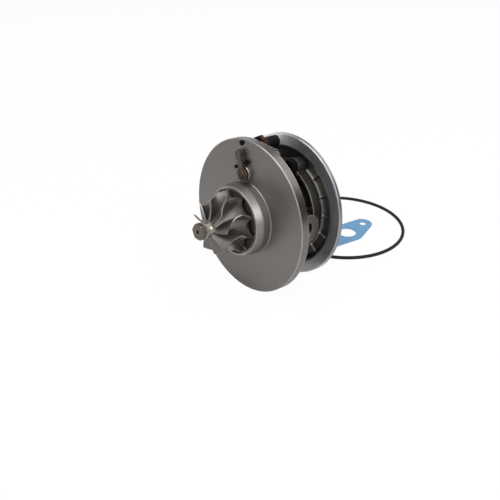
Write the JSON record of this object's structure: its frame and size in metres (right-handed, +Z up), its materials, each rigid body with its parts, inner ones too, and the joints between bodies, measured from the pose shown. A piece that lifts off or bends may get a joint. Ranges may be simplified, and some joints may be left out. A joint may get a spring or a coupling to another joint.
{
  "type": "turbocharger cartridge",
  "caption": "Turbocharger centre section: bladed turbine and compressor wheels on one shaft in a flanged housing, with vane lever, ribbed backplate and its loose seals.",
  "frame": {"origin": "on the shaft axis, at the front edge of the turbine flange's rim wall", "axes": "-Y towards the turbine end along the shaft, +Z up to the vane lever, +X to the oil inlet"},
  "size_m": [0.135, 0.24, 0.1247],
  "materials": {
    "housing_iron": "dark cast iron with machined faces",
    "shield_steel": "pressed heat-resisting steel, dull",
    "hard_steel": "ground hardened steel",
    "zinc_steel": "bright zinc-plated steel",
    "plate_aluminium": "cast aluminium, ring face turned",
    "black_steel": "black oxide steel",
    "black_rubber": "smooth black rubber",
    "bronze": "turned bearing bronze",
    "deflector_steel": "stamped sheet steel",
    "wheel_alloy": "cast nickel alloy, blasted, nose ground",
    "shaft_steel": "ground alloy steel",
    "wheel_aluminium": "cast aluminium",
    "lever_steel": "sintered steel, heat tinted at the rivet",
    "gold_steel": "yellow passivated steel",
    "gasket_blue": "blue coated fibre sheet"
  },
  "bodies": {
    "cartridge": {"bearing_housing": "housing_iron", "heat_shield": "shield_steel", "lever_bush": "hard_steel", "vane_stop_pins": "black_steel", "nozzle_dowel": "black_steel", "stop_screw": "zinc_steel", "stop_lock_nut": "hard_steel", "compressor_backplate": "plate_aluminium", "backplate_bolts": "black_steel", "backplate_seal_ring": "black_rubber", "thrust_bearing": "bronze", "oil_deflector": "deflector_steel", "turbine_piston_ring": "hard_steel", "compressor_piston_ring": "hard_steel", "bearing_retaining_rings": "hard_steel", "compressor_cover_o_ring": "black_rubber", "oil_drain_gasket": "gasket_blue"},
    "rotor": {"turbine_wheel": "wheel_alloy", "rotor_shaft": "shaft_steel", "thrust_collar": "hard_steel", "flinger_sleeve": "hard_steel", "compressor_wheel": "wheel_aluminium", "compressor_nut": "shaft_steel"},
    "vane_control": {"lever_shaft": "lever_steel", "lever_washer": "zinc_steel", "vane_lever": "lever_steel", "outer_lever": "gold_steel", "rod_pin": "black_steel"},
    "turbine_journal": {"turbine_bearing": "bronze"},
    "compressor_journal": {"compressor_bearing": "bronze"}
  },
  "joints": [
    {"name": "rotor_spin", "type": "hinge", "parent": "cartridge", "child": "rotor", "pos_m": [0, 0, 0], "axis": [0, -1, 0], "continuous": true},
    {"name": "vane_lever_swing", "type": "hinge", "parent": "cartridge", "child": "vane_control", "pos_m": [-0.0032, 0, 0.035], "axis": [0, -1, 0], "range_deg": [-5, 25]},
    {"name": "turbine_bearing_float", "type": "hinge", "parent": "cartridge", "child": "turbine_journal", "pos_m": [0, 0.007, 0], "axis": [0, -1, 0], "continuous": true},
    {"name": "compressor_bearing_float", "type": "hinge", "parent": "cartridge", "child": "compressor_journal", "pos_m": [0, 0.03, 0], "axis": [0, -1, 0], "continuous": true}
  ]
}
